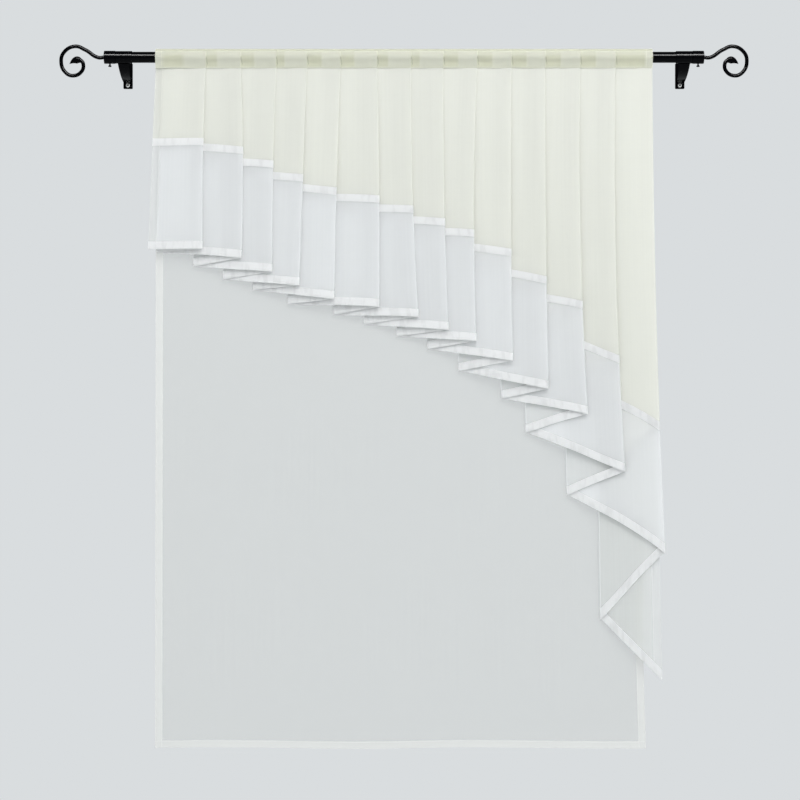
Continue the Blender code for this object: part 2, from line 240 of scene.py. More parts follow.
def soften(item: bpy.types.Object, width: float, segments: int = 2) -> None:
    """Round a hard piece's edges."""
    edge = item.modifiers.new("edges", "BEVEL")
    edge.width = width
    edge.segments = segments
    edge.limit_method = "ANGLE"
    edge.angle_limit = BEVEL_ANGLE
    edge.harden_normals = True
    item.data.shade_smooth()


def dress(item: bpy.types.Object, material: bpy.types.Material, slot: str, *nodes: str) -> bpy.types.Object:
    """Give a piece its material and its body, hide the CAD nodes that it stands for, and log them with its
    slot's name.

    Args:
        item: The piece.
        material: Its material.
        slot: The material slot's name, which is only logged.
        nodes: The CAD nodes that it replaces.

    Returns:
        The same piece.
    """
    item.data.materials.clear()
    item.data.materials.append(material)
    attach(item, BODY)
    if nodes:
        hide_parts(*nodes)
    log.info("%s in %s, for %s", item.name, slot, ", ".join(nodes) or "itself")
    return item


# Finishes


def scaled(color: Color, gain: float) -> Color:
    """A colour made lighter or darker."""
    return tuple(min(1.0, channel * gain) for channel in color)


class Nodes:
    """A material's node tree, with short ways to add to it."""

    def __init__(self, name: str) -> None:
        """Start an empty material.

        Args:
            name: The material's name.
        """
        self.material = bpy.data.materials.new(name)
        self.material.use_nodes = True
        self.tree = self.material.node_tree
        self.tree.nodes.clear()

    def add(self, kind: str, inputs: Optional[dict] = None, **settings: object) -> bpy.types.Node:
        """Add a node.

        Args:
            kind: The node's type, without the ShaderNode that its name starts with.
            inputs: Values or sockets for its inputs, by name or number.
            settings: The node's own settings.

        Returns:
            The node.
        """
        node = self.tree.nodes.new("ShaderNode" + kind)
        for key, value in settings.items():
            setattr(node, key, value)
        for key, value in (inputs or {}).items():
            if isinstance(value, bpy.types.NodeSocket):
                self.tree.links.new(value, node.inputs[key])
            else:
                node.inputs[key].default_value = value
        return node

    def math(self, operation: str, first: object, second: object = 0.0) -> bpy.types.NodeSocket:
        """Do one sum on two values or sockets, and return its result."""
        return self.add("Math", {0: first, 1: second}, operation=operation).outputs[0]

    def noise(self, vector: bpy.types.NodeSocket, scale: float, detail: float = 2.0) -> bpy.types.NodeSocket:
        """A cloud of values from 0 to 1 over a vector."""
        return self.add("TexNoise", {"Vector": vector, "Scale": scale, "Detail": detail}).outputs["Fac"]

    def stretch(self, vector: bpy.types.NodeSocket, scale: Color) -> bpy.types.NodeSocket:
        """Scale a vector unevenly."""
        return self.add("Mapping", {"Vector": vector, "Scale": scale}).outputs[0]

    def blend(self, share: object, first: object, second: object) -> bpy.types.NodeSocket:
        """Mix two colours, each a socket or an (r, g, b) value."""
        first, second = (c if isinstance(c, bpy.types.NodeSocket) else (*c, 1.0) for c in (first, second))
        return self.add("Mix", {0: share, 6: first, 7: second}, data_type="RGBA").outputs[2]

    def finish(self, shader: bpy.types.Node) -> bpy.types.Material:
        """Put a shader on the surface and return the material."""
        self.add("OutputMaterial", {"Surface": shader.outputs[0]})
        return self.material


class Run(Enum):
    """Which way a row of stitches runs on the flat cloth."""

    ACROSS = 1
    DOWN = 0


@dataclass(frozen=True)
class Seam:
    """A row of machine stitches.

    Attributes:
        run: Which way it runs.
        place: Its place on the cloth's other axis.
        pitch: Length of one stitch and its gap.
    """

    run: Run
    place: float
    pitch: float = 2.6 * MM

    def mask(self, n: Nodes, flat: bpy.types.NodeSocket) -> bpy.types.NodeSocket:
        """Where its stitches lie, from 0 to 1."""
        parts = n.add("SeparateXYZ", {0: flat}).outputs
        near = n.math("COMPARE", parts[self.run.value], self.place)
        near.node.inputs[2].default_value = 0.3 * MM
        stitches = n.math("DIVIDE", parts[1 - self.run.value], self.pitch)
        dash = n.math("GREATER_THAN", n.math("FRACT", stitches), 0.25)
        return n.math("MULTIPLY", dash, near)


def stitching(n: Nodes, flat: bpy.types.NodeSocket, seams: Sequence[Seam]) -> object:
    """Where the stitches of all the seams lie, from 0 to 1."""
    total: object = 0.0
    for seam in seams:
        total = n.math("MAXIMUM", seam.mask(n, flat), total)
    return total


@dataclass(frozen=True)
class Voile:
    """Fine plain-woven cloth that light passes through.

    Attributes:
        name: The material's name.
        color: The yarn's colour.
        cover: How much of the view one face of a single layer covers.
        dense_cover: The same where the cloth lies double.
        dense_tint: What the cloth's colour is multiplied by where it lies double.
        painted_shade_tint: What the colour is multiplied by where the attribute is below zero: a painted
            shade tint for the cloth drawn thinner.
        glow: Share of the light that comes through the yarn from the other side.
        thread: Distance between the weave's threads.
        seams: Its rows of stitches.
    """

    name: str
    color: Color
    cover: float
    dense_cover: float
    dense_tint: Color = (1.0, 1.0, 1.0)
    painted_shade_tint: Color = (1.0, 1.0, 1.0)
    glow: float = 0.4
    thread: float = 0.5 * MM
    seams: tuple[Seam, ...] = ()

    def weave(self, n: Nodes, flat: bpy.types.NodeSocket) -> bpy.types.NodeSocket:
        """The height of the threads, from 0 to 1."""
        scale = math.tau / 20 / self.thread
        ridges = n.add("TexWave", {"Vector": flat, "Scale": scale}, bands_direction="X").outputs["Fac"]
        courses = n.add("TexWave", {"Vector": flat, "Scale": scale}, bands_direction="Y").outputs["Fac"]
        return n.math("MAXIMUM", ridges, courses)

    def material(self) -> bpy.types.Material:
        """The weave, its uneven yarn, its double places, and painted shade where the cloth is drawn thinner.
        """
        n = Nodes(self.name)
        flat = n.add("UVMap", uv_map=CLOTH_UV).outputs[0]
        warp = n.noise(n.stretch(flat, (260, 3, 1)), 1.0)
        weft = n.noise(n.stretch(flat, (3, 200, 1)), 1.0)
        cloud = n.noise(flat, 9.0, 3.0)
        yarn = n.math("ADD", n.math("MULTIPLY", warp, 0.8), n.math("MULTIPLY", weft, 0.2))
        shade = n.math("ADD", n.math("MULTIPLY", yarn, 0.6), n.math("MULTIPLY", cloud, 0.4))
        color = n.blend(shade, scaled(self.color, 0.98), scaled(self.color, 1.02))
        plies_and_shade = n.add("Attribute", attribute_name=PLIES_AND_SHADE).outputs["Fac"]
        # Above zero the doubled cloth takes dense_tint; below zero the colour is multiplied by the painted
        # shade tint, which paints shade.
        for share, tint in ((plies_and_shade, self.dense_tint), (n.math("MULTIPLY", plies_and_shade, -1.0), self.painted_shade_tint)):
            color = n.add("VectorMath", {0: color, 1: n.blend(share, (1.0, 1.0, 1.0), tint)},
                          operation="MULTIPLY").outputs[0]
        open_cover = n.math("ADD", self.cover - 0.015, n.math("MULTIPLY", yarn, 0.03))
        cover = n.add("MapRange", {"Value": plies_and_shade, "To Min": open_cover, "To Max": self.dense_cover},
                      clamp=False).outputs[0]
        stitch = stitching(n, flat, self.seams)
        cover = n.math("ADD", cover, n.math("MULTIPLY", stitch, 0.2))
        relief = n.math("ADD", n.math("MULTIPLY", self.weave(n, flat), 0.3), n.math("SUBTRACT", yarn, stitch))
        bump = n.add("Bump", {"Strength": 0.2, "Distance": 0.15 * MM, "Height": relief}).outputs[0]
        front = n.add("BsdfPrincipled", {
            "Base Color": color, "Roughness": 0.85, "Normal": bump,
            "Sheen Weight": 0.2, "Sheen Roughness": 0.5, "Specular IOR Level": 0.08,
        })
        through = n.add("BsdfTranslucent", {"Color": color, "Normal": bump})
        cloth = n.add("MixShader", {0: self.glow, 1: front.outputs[0], 2: through.outputs[0]})
        hole = n.add("BsdfTransparent")
        return n.finish(n.add("MixShader", {0: cover, 1: hole.outputs[0], 2: cloth.outputs[0]}))


@dataclass(frozen=True)
class Satin:
    """Smooth ribbon with a soft sheen and a row of stitches near each edge.

    Attributes:
        name: The material's name.
        color: The ribbon's colour.
        seams: Its rows of stitches.
        glow: Share of the light that comes through from the other side.
    """

    name: str
    color: Color
    seams: tuple[Seam, ...]
    glow: float = 0.3

    def material(self) -> bpy.types.Material:
        """Warp-faced satin: long floats that shine, slanting creases, and a little shade between them."""
        n = Nodes(self.name)
        flat = n.add("UVMap", uv_map=CLOTH_UV).outputs[0]
        floats = n.noise(n.stretch(flat, (60, 2600, 1)), 1.0)
        slant = n.add("Mapping", {"Vector": flat, "Rotation": (0, 0, 0.6), "Scale": (80, 24, 1)}).outputs[0]
        crease = n.noise(slant, 1.0, 2.0)
        stitch = stitching(n, flat, self.seams)
        color = n.blend(floats, scaled(self.color, 0.97), self.color)
        shaded = {"Value": crease, "From Min": 0.5, "From Max": 0.62, "To Max": 0.7}
        fold = n.add("MapRange", shaded).outputs[0]
        color = n.blend(fold, color, scaled(self.color, 0.88))
        color = n.blend(n.math("MULTIPLY", stitch, 0.2), color, scaled(self.color, 0.75))
        rough = n.add("MapRange", {"Value": crease, "To Min": 0.35, "To Max": 0.6}).outputs[0]
        fine = n.math("SUBTRACT", n.math("MULTIPLY", floats, 0.4), stitch)
        relief = n.add("Bump", {"Strength": 0.3, "Distance": 0.2 * MM, "Height": fine}).outputs[0]
        bump = n.add("Bump", {
            "Strength": 0.3, "Distance": 1.5 * MM, "Height": crease, "Normal": relief,
        }).outputs[0]
        shader = n.add("BsdfPrincipled", {
            "Base Color": color, "Roughness": rough, "Normal": bump, "Specular IOR Level": 0.2,
            "Sheen Weight": 0.15, "Anisotropic": 0.5,
        })
        through = n.add("BsdfTranslucent", {"Color": color, "Normal": bump})
        return n.finish(n.add("MixShader", {0: self.glow, 1: shader.outputs[0], 2: through.outputs[0]}))


@dataclass(frozen=True)
class Enamel:
    """Black paint on steel.

    Attributes:
        name: The material's name.
        color: The paint's colour.
        roughness: Its mean roughness.
    """

    name: str
    color: Color
    roughness: float

    def material(self) -> bpy.types.Material:
        """A slightly uneven gloss coat."""
        n = Nodes(self.name)
        place = n.add("TexCoord").outputs["Object"]
        cloud = n.noise(place, 60.0, 3.0)
        grain = n.noise(place, 240.0, 2.0)
        color = n.blend(cloud, self.color, tuple(c * 1.6 for c in self.color))
        rough = n.add("MapRange", {
            "Value": cloud, "To Min": self.roughness - 0.03, "To Max": self.roughness + 0.04,
        }).outputs[0]
        bump = n.add("Bump", {"Strength": 0.03, "Distance": 0.05 * MM, "Height": grain}).outputs[0]
        shader = n.add("BsdfPrincipled", {
            "Base Color": color, "Roughness": rough, "Normal": bump, "Specular IOR Level": 0.04,
        })
        return n.finish(shader)


@dataclass(frozen=True)
class Plating:
    """Bright zinc on a screw head.

    Attributes:
        name: The material's name.
        color: The metal's colour.
    """

    name: str
    color: Color

    def material(self) -> bpy.types.Material:
        """Turned metal with fine rings of wear."""
        n = Nodes(self.name)
        place = n.add("TexCoord").outputs["Object"]
        wear = n.noise(place, 700.0, 3.0)
        color = n.blend(wear, tuple(c * 0.8 for c in self.color), self.color)
        rough = n.add("MapRange", {"Value": wear, "To Min": 0.22, "To Max": 0.4}).outputs[0]
        return n.finish(n.add("BsdfPrincipled", {"Base Color": color, "Metallic": 0.2, "Roughness": rough}))


@dataclass(frozen=True)
class Plaster:
    """The plain pale floor."""

    name: str = "pale_floor"
    color: Color = (0.74, 0.755, 0.76)

    def material(self) -> bpy.types.Material:
        """Matt paint with a faint cloud."""
        n = Nodes(self.name)
        place = n.add("TexCoord").outputs["Object"]
        color = n.blend(n.noise(place, 3.0), tuple(c * 0.98 for c in self.color), self.color)
        return n.finish(n.add("BsdfPrincipled", {"Base Color": color, "Roughness": 0.9}))


# The cloth


@dataclass(frozen=True)
class Line:
    """One line down the ruffle, from the stitching to the hem, in metres.

    Attributes:
        top: x at the heading.
        hem: x at the hem.
        drop: The hem's drop below the rod's axis.
        slope: The hem's drop for each metre of cloth.
        depth: Depth in the stack, from 0 at the front to 1.
        back: Turns of the fold that the line lies behind that depth.
        inset: Half-turns that it lies to the right of the fold's line.
        bow: How much of the panel's bow it has, from 0 to 1.
        sway: The middle's stray from a straight line.
        along: Its place on the flat cloth, from the left edge.
        thin_shade: How much thinner the cloth is drawn there and how much painted shade it takes, from 0 to
            1.
    """

    top: float
    hem: float
    drop: float
    slope: float
    depth: float
    back: float
    inset: float
    bow: float
    sway: float
    along: float
    thin_shade: float


def hermite(start: float, end: float, start_slope: float, end_slope: float, span: float,
            share: float) -> float:
    """A smooth value between two folds, with the slopes given at both."""
    s2, s3 = share ** 2, share ** 3
    ends = (2 * s3 - 3 * s2 + 1) * start + (3 * s2 - 2 * s3) * end
    return ends + span * ((s3 - 2 * s2 + share) * start_slope + (s3 - s2) * end_slope)


@dataclass
class PleatStack:
    """How the pleats lie behind each other: tight under the stitching, open at the hem.

    Attributes:
        rod_out: The rod's distance from the wall.
        stitch_drop: The stitching's drop below the rod's axis.
        depth_top: The stack's depth at the stitching.
        depth_opening: What the depth grows by towards the hem.
        turn_top: Width of a fold's turn at the stitching.
        turn_opening: What the turn grows by.
        opening_length: Over what drop the stack opens.
        bow: How far a front panel bows into the room.
    """

    rod_out: float = ROD_OUT
    stitch_drop: float = 22.5 * MM
    depth_top: float = 8 * MM
    depth_opening: float = 26 * MM
    turn_top: float = 1.7 * MM
    turn_opening: float = 2.6 * MM
    opening_length: float = 350 * MM
    bow: float = 2.5 * MM
    deep_y: float = field(init=False)

    def __post_init__(self) -> None:
        """Place the deepest layer just behind the rod's axis."""
        self.deep_y = -self.rod_out + 2 * MM

    @property
    def cloth_top(self) -> float:
        """Drop at which the hanging cloths start, a little above the stitching."""
        return self.stitch_drop - 1.0 * MM

    def spread(self, drop: float) -> float:
        """Share of the opening at a drop below the rod, from 0 to 1."""
        return 1 - math.exp(-max(0.0, drop - self.stitch_drop) / self.opening_length)

    def depth(self, drop: float) -> float:
        """Depth of the stack from its front fold to its back fold."""
        return self.depth_top + self.depth_opening * self.spread(drop)

    def turn(self, drop: float) -> float:
        """Width of a fold's turn, from one layer's middle to the next one's."""
        return self.turn_top + self.turn_opening * self.spread(drop)


@dataclass
class Ruffle:
    """The pleated, slanting ruffle: cream top, satin ribbon, white flounce and satin binding.

    Attributes:
        stack: How the pleats lie.
        flounce_height: From the ribbon's lower edge to the hem.
        ribbon_height: Width of the seam ribbon.
        binding_height: Width of the binding on one side.
        slope_ease: Share of the hem's slope that heights over the binding follow.
        side_hem: Width of the turned side hems.
        front_parts: Steps across a front panel.
        return_parts: Steps across a return.
        turn_parts: Steps round a fold's turn.
        fold_edge: Distance of a panel's last line from its fold.
        return_thin_shade: How much thinner the returns are drawn and how much painted shade they take, from 0
            to 1.
    """

    stack: PleatStack
    flounce_height: float = 208 * MM
    ribbon_height: float = 15 * MM
    binding_height: float = 16 * MM
    slope_ease: float = 0.75
    side_hem: float = 17 * MM
    front_parts: int = 12
    return_parts: int = 8
    turn_parts: int = 8
    fold_edge: float = 0.5 * MM
    return_thin_shade: float = 0.6
    voile_thickness: float = 0.35 * MM
    satin_thickness: float = 0.3 * MM
    lines: list[Line] = field(init=False)

    def __post_init__(self) -> None:
        """Work out the lines down the cloth."""
        self.lines = self.cloth_lines()

    @property
    def seam_height(self) -> float:
        """Height over the hem of the seam between cream and white."""
        return self.flounce_height + self.ribbon_height / 2

    @staticmethod
    def fold_slopes() -> list[float]:
        """The hem's slope at each fold, the mean of the panels beside it."""
        panels = [(b.drop - a.drop) / abs(b.hem - a.hem) for a, b in zip(FOLDS, FOLDS[1:])]
        return [panels[0], *((a + b) / 2 for a, b in zip(panels, panels[1:])), panels[-1]]

    def cloth_lines(self) -> list[Line]:
        """The lines down the ruffle from its left edge to its last one.

        Returns:
            The lines, in order along the flat cloth.
        """
        slopes = self.fold_slopes()
        inset = {FRONT: -1, BACK: 1, EDGE: 0}
        lines: list[Line] = []
        along = 0.0
        for number, (start, end) in enumerate(zip(FOLDS, FOLDS[1:])):
            is_return = start.kind is FRONT
            back = {FRONT: 1, BACK: -1, EDGE: 0} if is_return else {FRONT: 0, BACK: 0, EDGE: 0}
            span = abs(end.hem - start.hem)
            # Returns and the last front panel are drawn thinner and darkened with painted shade.
            thin_shade = self.return_thin_shade if is_return else float(start.kind is BACK and end.kind is EDGE)
            for share in self.shares(start.kind, end.kind, is_return, span):
                def mix(a: float, b: float) -> float:
                    return a + (b - a) * share
                drop = hermite(start.drop, end.drop, slopes[number], slopes[number + 1], span, share)
                lines.append(Line(
                    top=mix(start.top, end.top) * MM, hem=mix(start.hem, end.hem) * MM, drop=drop * MM,
                    slope=mix(slopes[number], slopes[number + 1]), depth=mix(start.depth, end.depth),
                    back=mix(back[start.kind], back[end.kind]), inset=mix(inset[start.kind], inset[end.kind]),
                    bow=0 if is_return else math.sin(math.pi * share), sway=mix(start.sway, end.sway) * MM,
                    along=along + span * share * MM, thin_shade=thin_shade,
                ))
            along += span * MM
            if end.kind is not EDGE:
                lines += self.turn_lines(end, slopes[number + 1], along)
                along += self.stack.turn_top * math.pi / 2
        return lines

    def shares(self, start: FoldKind, end: FoldKind, is_return: bool, span: float) -> list[float]:
        """A panel's lines, with one close to each fold and a pair at the edge of a side hem."""
        parts = self.return_parts if is_return else self.front_parts
        shares = [part / parts for part in range(parts + 1)]
        hem = self.side_hem / MM / span
        near = self.fold_edge / MM / span
        shares += [hem, hem + 0.006] if start is EDGE else [near]
        shares += [1 - hem, 1 - hem - 0.006] if end is EDGE else [1 - near]
        return sorted(shares)

    def turn_lines(self, fold: Fold, slope: float, along: float) -> list[Line]:
        """The lines round a fold's turn, between the panels that it joins.

        Args:
            fold: The fold.
            slope: The hem's slope there.
            along: Where the turn starts on the flat cloth.

        Returns:
            The lines between the turn's two ends.
        """
        outward = 1 if fold.kind is FRONT else -1
        lines = []
        for part in range(1, self.turn_parts):
            angle = math.pi * part / self.turn_parts
            mid = (1 - math.cos(angle)) / 2
            back = mid if fold.kind is FRONT else mid - 1
            inset = outward * (math.sin(angle) - 1)
            lines.append(Line(fold.top * MM, fold.hem * MM, fold.drop * MM, slope, fold.depth, back, inset, 0,
                              fold.sway * MM, along + self.stack.turn_top / 2 * angle, 0.0))
        return lines

    def hem_ripple(self, line: Line) -> float:
        """The hem's small unevenness on a line."""
        return 0.8 * MM * noise.noise(Vector((line.along * 17, 3.1, 0)))

    def at(self, line: Line, drop: float) -> Vector:
        """Where the cloth's middle lies on a line.

        Args:
            line: The line.
            drop: Drop below the rod's axis.

        Returns:
            The place in the frame.
        """
        stack = self.stack
        share = (drop - stack.stitch_drop) / (line.drop - stack.stitch_drop)
        turn, spread = stack.turn(drop), stack.spread(drop)
        sway = line.sway * 4 * share * (1 - share)
        x = line.top + (line.hem - line.top) * share + sway + line.inset * turn / 2
        ease = (0.12 + 1.1 * spread) * MM
        billow = noise.noise(Vector((line.along * 14, drop * 4, 7.0)))
        crease = noise.noise(Vector((line.along * 55, drop * 6, 2.0))) * 0.3
        behind = line.depth * stack.depth(drop) + line.back * turn - stack.bow * line.bow * spread
        return Vector((x, stack.deep_y - stack.depth(drop) + behind + ease * (billow + crease), -drop))

    def drop_at(self, line: Line, height: float) -> float:
        """Drop at a height over the hem, measured square to the hem, over the binding less so."""
        steep, eased = math.hypot(1, line.slope), math.hypot(1, self.slope_ease * line.slope)
        low = min(height, self.binding_height)
        return line.drop + self.hem_ripple(line) - low * steep - (height - low) * eased

    def normal(self, column: int, drop: float) -> Vector:
        """The cloth's outward direction on its right side, which faces the room on the front panels."""
        before, after = max(0, column - 1), min(len(self.lines) - 1, column + 1)
        across = self.at(self.lines[after], drop) - self.at(self.lines[before], drop)
        down = self.at(self.lines[column], drop + MM) - self.at(self.lines[column], drop - MM)
        return down.cross(across).normalized()

    def side_density(self, column: int) -> float:
        """One within a side hem, and less than zero on the returns and the last panel: drawn thinner, with
        painted shade.
        """
        line, last = self.lines[column], self.lines[-1]
        edge = min(line.along, last.along - line.along)
        return 1.0 if edge < self.side_hem + 0.01 * MM else -line.thin_shade

    def side_seams(self) -> tuple[Seam, ...]:
        """The stitches along the side hems."""
        inside = self.side_hem - 1.2 * MM
        return Seam(Run.DOWN, inside), Seam(Run.DOWN, self.lines[-1].along - inside)

    def ribbon_seams(self) -> tuple[Seam, ...]:
        """The stitches along both edges of the seam ribbon."""
        inside = 1.4 * MM
        low = self.flounce_height
        return Seam(Run.ACROSS, low + inside), Seam(Run.ACROSS, low + self.ribbon_height - inside)

    def binding_seams(self) -> tuple[Seam, ...]:
        """The stitches along the binding's upper edge."""
        return (Seam(Run.ACROSS, self.binding_height - 1.6 * MM),)

    def sheet(self, name: str, rows: Sequence[float], top: Optional[float] = None) -> bpy.types.Object:
        """A voile sheet along the whole ruffle.

        Args:
            name: The piece's name.
            rows: Heights over the hem from the highest to the lowest, or shares from the top if top is given.
            top: Drop of the upper edge, for the sheet that starts at the stitching.

        Returns:
            The sheet.
        """
        seam = self.seam_height

        def drop(column: int, row: int) -> float:
            line = self.lines[column]
            if top is None:
                return self.drop_at(line, rows[row])
            return top + (self.drop_at(line, seam) - top) * rows[row]

        def place(column: int, row: int) -> Vector:
            return self.at(self.lines[column], drop(column, row))

        def flat(column: int, row: int) -> tuple[float, float]:
            return self.lines[column].along, -drop(column, row)

        def density(column: int, row: int) -> float:
            return self.side_density(column)

        item = grid_piece(name, len(self.lines) - 1, len(rows) - 1, place, flat, density)
        thicken(item, self.voile_thickness)
        return item

    def ribbon(self, name: str, course: Sequence[tuple[float, float]]) -> bpy.types.Object:
        """A satin strip along the whole ruffle.

        Args:
            name: The piece's name.
            course: The strip's section as points of (height over the hem, distance out from the
                cloth's middle).

        Returns:
            The strip.
        """
        def place(column: int, row: int) -> Vector:
            height, out = course[row]
            line = self.lines[column]
            pucker = 0.25 * MM * noise.noise(Vector((line.along * 40, height * 60, 5.0)))
            drop = self.drop_at(line, height)
            return self.at(line, drop) + self.normal(column, drop) * (out + math.copysign(abs(pucker), out))

        def flat(column: int, row: int) -> tuple[float, float]:
            return self.lines[column].along, course[row][0]

        item = grid_piece(name, len(self.lines) - 1, len(course) - 1, place, flat)
        thicken(item, self.satin_thickness)
        return item

    def build(self, cream: bpy.types.Material, white: bpy.types.Material, ribbon: bpy.types.Material,
              binding: bpy.types.Material) -> None:
        """Make and dress the ruffle's pieces.

        Args:
            cream: Voile of the top.
            white: Voile of the flounce.
            ribbon: Satin of the seam ribbon.
            binding: Satin of the hem binding.
        """
        seam = self.seam_height
        steps = 26
        top = self.sheet("cream_ruffle_top", [(i / steps) ** 1.25 for i in range(steps + 1)],
                         self.stack.cloth_top)
        dress(top, cream, "cream_voile", "valance_top")
        self.top_area()

        rows, low, high = 14, 1.2 * MM, seam - 0.5 * MM
        heights = [low + (high - low) * (1 - i / rows) for i in range(rows + 1)]
        flounce = self.sheet("white_flounce", heights)
        dress(flounce, white, "white_voile", "flounce")

        out = self.voile_thickness / 2 + self.satin_thickness / 2 + 0.12 * MM
        high = self.flounce_height + self.ribbon_height
        crowned = [(high - self.ribbon_height * i / 4, out + 0.1 * MM * math.sin(math.pi * i / 4))
                   for i in range(5)]
        seam_ribbon = self.ribbon("satin_seam_ribbon", crowned)
        dress(seam_ribbon, ribbon, "white_satin", "seam_ribbon")

        front = [(self.binding_height * (1 - i / 4) + 0.5 * MM * i / 4, out) for i in range(5)]
        angles = (0.25 * math.pi, 0.5 * math.pi, 0.75 * math.pi)
        under = [(0.5 * MM - math.sin(a) * 0.5 * MM, out * math.cos(a)) for a in angles]
        course = [*front, *under, *((height, -distance) for height, distance in reversed(front))]
        hem = self.ribbon("satin_hem_binding", course)
        dress(hem, binding, "white_satin", "hem_binding")

    def top_area(self) -> float:
        """Flat area of the cloth from the stitching down to the seam."""
        total = 0.0
        for a, b in zip(self.lines, self.lines[1:]):
            total += (b.along - a.along) * (self.drop_at(a, self.seam_height) - self.stack.stitch_drop)
        return total


@dataclass
class SheerPanel:
    """The straight sheer panel behind the ruffle, its side and bottom hems turned in its own cloth.

    Attributes:
        stack: How the pleats in front of it lie.
        half_width: Half its width at the top.
        drop: Its lower edge's drop below the rod's axis.
        hem: Width of its hems.
    """

    stack: PleatStack
    half_width: float = HALF_WIDTH
    drop: float = 1391 * MM
    hem: float = 15 * MM
    left_spread: float = 2.5 * MM
    right_draw: float = 18 * MM
    right_back: float = 6 * MM
    wave: float = 2.2 * MM
    columns: int = 110
    rows: int = 120

    def across(self, column: int, width: float) -> float:
        """Share of the width at a column, with columns on both sides of each hem's edge."""
        hem, slip = self.hem / width, 0.3 * MM / width
        inner = self.columns - 6
        if column <= 3:
            return (0, hem / 2, hem - slip, hem)[column]
        if column >= self.columns - 3:
            return 1 - (0, hem / 2, hem - slip, hem)[self.columns - column]
        return hem + (1 - 2 * hem) * (column - 3) / inner

    def down(self, row: int) -> float:
        """Share of the height at a row, with rows on both sides of the hem's edge."""
        length = self.drop - self.stack.stitch_drop
        hem, slip = self.hem / length, 0.3 * MM / length
        if row >= self.rows - 3:
            return 1 - (0, hem / 2, hem - slip, hem)[self.rows - row]
        return (1 - hem) * row / (self.rows - 3)

    def place(self, column: int, row: int) -> Vector:
        """Where the panel's corner at a column and row hangs."""
        width = 2 * self.half_width
        across, down = self.across(column, width), self.down(row)
        top = self.stack.cloth_top
        drop = top + (self.drop - top) * down
        left = -self.half_width - self.left_spread * down
        drawn = self.right_draw * math.sin(min(down / 0.85, 1) * math.pi / 2) ** 2
        right = self.half_width - drawn + self.right_back * max(0, down - 0.85) / 0.15
        ripple = math.sin(across * 9.4 + 0.7) + 0.6 * math.sin(across * 20.7 + 2.1 * down)
        fine = 0.35 * noise.noise(Vector((across * 26, down * 7, 1.0)))
        uneven = 1.2 * MM * math.sin(across * 12) * down ** 4
        edge = min(across, 1 - across) * width
        near_edge = math.exp(-edge / (2 * self.hem))
        pucker = 0.35 * MM * noise.noise(Vector((down * 45, across * 3, 4.0))) * near_edge
        hem_wave = 0.5 * MM * noise.noise(Vector((across * 30, 6.0, 2.0))) * math.exp((down - 1) * 25)
        y = -self.stack.rod_out + 4.6 * MM + self.wave * (1.6 + ripple + fine) * down ** 0.7
        x = left + (right - left) * across + pucker
        return Vector((x, y + abs(pucker) + abs(hem_wave), -drop + uneven + hem_wave))

    def seams(self) -> tuple[Seam, ...]:
        """The stitches along the side hems and the bottom hem."""
        inside = self.hem - 1.2 * MM
        width = 2 * self.half_width
        return Seam(Run.DOWN, inside), Seam(Run.DOWN, width - inside), Seam(Run.ACROSS, inside - self.drop)

    def density(self, column: int, row: int) -> float:
        """One in the hems and zero elsewhere."""
        in_side = column <= 2 or column >= self.columns - 2
        return 1.0 if in_side or row >= self.rows - 2 else 0.0

    def build(self, voile: bpy.types.Material) -> None:
        """Make and dress the panel.

        Args:
            voile: Its cloth.
        """
        def flat(column: int, row: int) -> tuple[float, float]:
            return self.across(column, 2 * self.half_width) * 2 * self.half_width, -self.down(row) * self.drop

        item = grid_piece("sheer_voile_panel", self.columns, self.rows, self.place, flat, self.density)
        thicken(item, 0.3 * MM)
        dress(item, voile, "sheer_voile", "sheer_panel")


